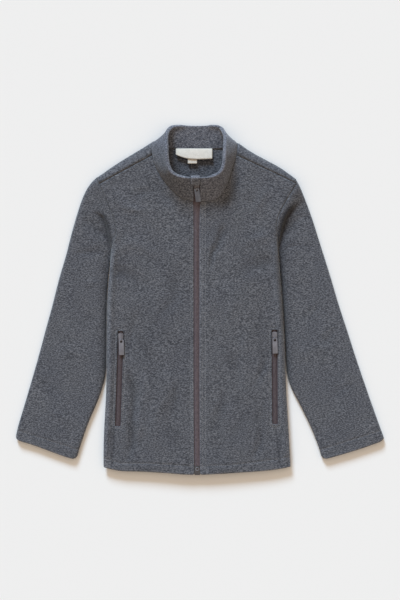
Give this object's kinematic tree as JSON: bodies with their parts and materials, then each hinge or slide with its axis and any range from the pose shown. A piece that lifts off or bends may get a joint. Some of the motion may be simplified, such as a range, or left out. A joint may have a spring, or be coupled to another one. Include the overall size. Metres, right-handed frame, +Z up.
{
  "type": "fleece zip jacket",
  "caption": "Long-sleeved fleece jacket with a stand collar, full-length front zip and two upright zip pockets, laid flat front up with its sleeves down beside the body.",
  "frame": {"origin": "middle of the footprint on the surface that the jacket lies on", "axes": "+X to the right as seen from above, towards the sleeve on the right of the picture; +Y up the front to the collar; +Z up out of the surface, towards the camera"},
  "size_m": [0.591, 0.5608, 0.0477],
  "materials": {
    "fleece": "matt brushed melange",
    "collar_fleece": "matt brushed melange",
    "zip_tape": "matt woven",
    "zip_metal": "satin",
    "woven_label": "matt woven"
  },
  "bodies": {
    "jacket": {"back": "fleece", "front_left": "fleece", "front_right": "fleece", "sleeve_left": "fleece", "sleeve_right": "fleece", "collar": "collar_fleece", "chin_guard": "collar_fleece", "zip_tape_left": "zip_tape", "zip_tape_right": "zip_tape", "pocket_tape_left": "zip_tape", "pocket_tape_right": "zip_tape", "zip_slider": "zip_metal", "zip_box": "zip_metal", "pocket_slider_left": "zip_metal", "pocket_slider_right": "zip_metal", "neck_label": "woven_label", "size_tab": "woven_label"},
    "main_pull": {"zip_pull": "zip_metal"},
    "left_pocket_pull": {"pocket_pull_left": "zip_metal"},
    "right_pocket_pull": {"pocket_pull_right": "zip_metal"}
  },
  "joints": [
    {"name": "main_pull_hinge", "type": "hinge", "parent": "jacket", "child": "main_pull", "pos_m": [-0.0053, 0.17747, 0.03507], "axis": [-0.9928, -0.0992, -0.067], "range_deg": [0, 150]},
    {"name": "left_pocket_pull_hinge", "type": "hinge", "parent": "jacket", "child": "left_pocket_pull", "pos_m": [-0.12567, -0.06227, 0.01581], "axis": [-0.9996, -0.0271, -0.001], "range_deg": [0, 150]},
    {"name": "right_pocket_pull_hinge", "type": "hinge", "parent": "jacket", "child": "right_pocket_pull", "pos_m": [0.11929, -0.05995, 0.0156], "axis": [-0.9996, -0.0266, -0.0004], "range_deg": [0, 150]}
  ]
}
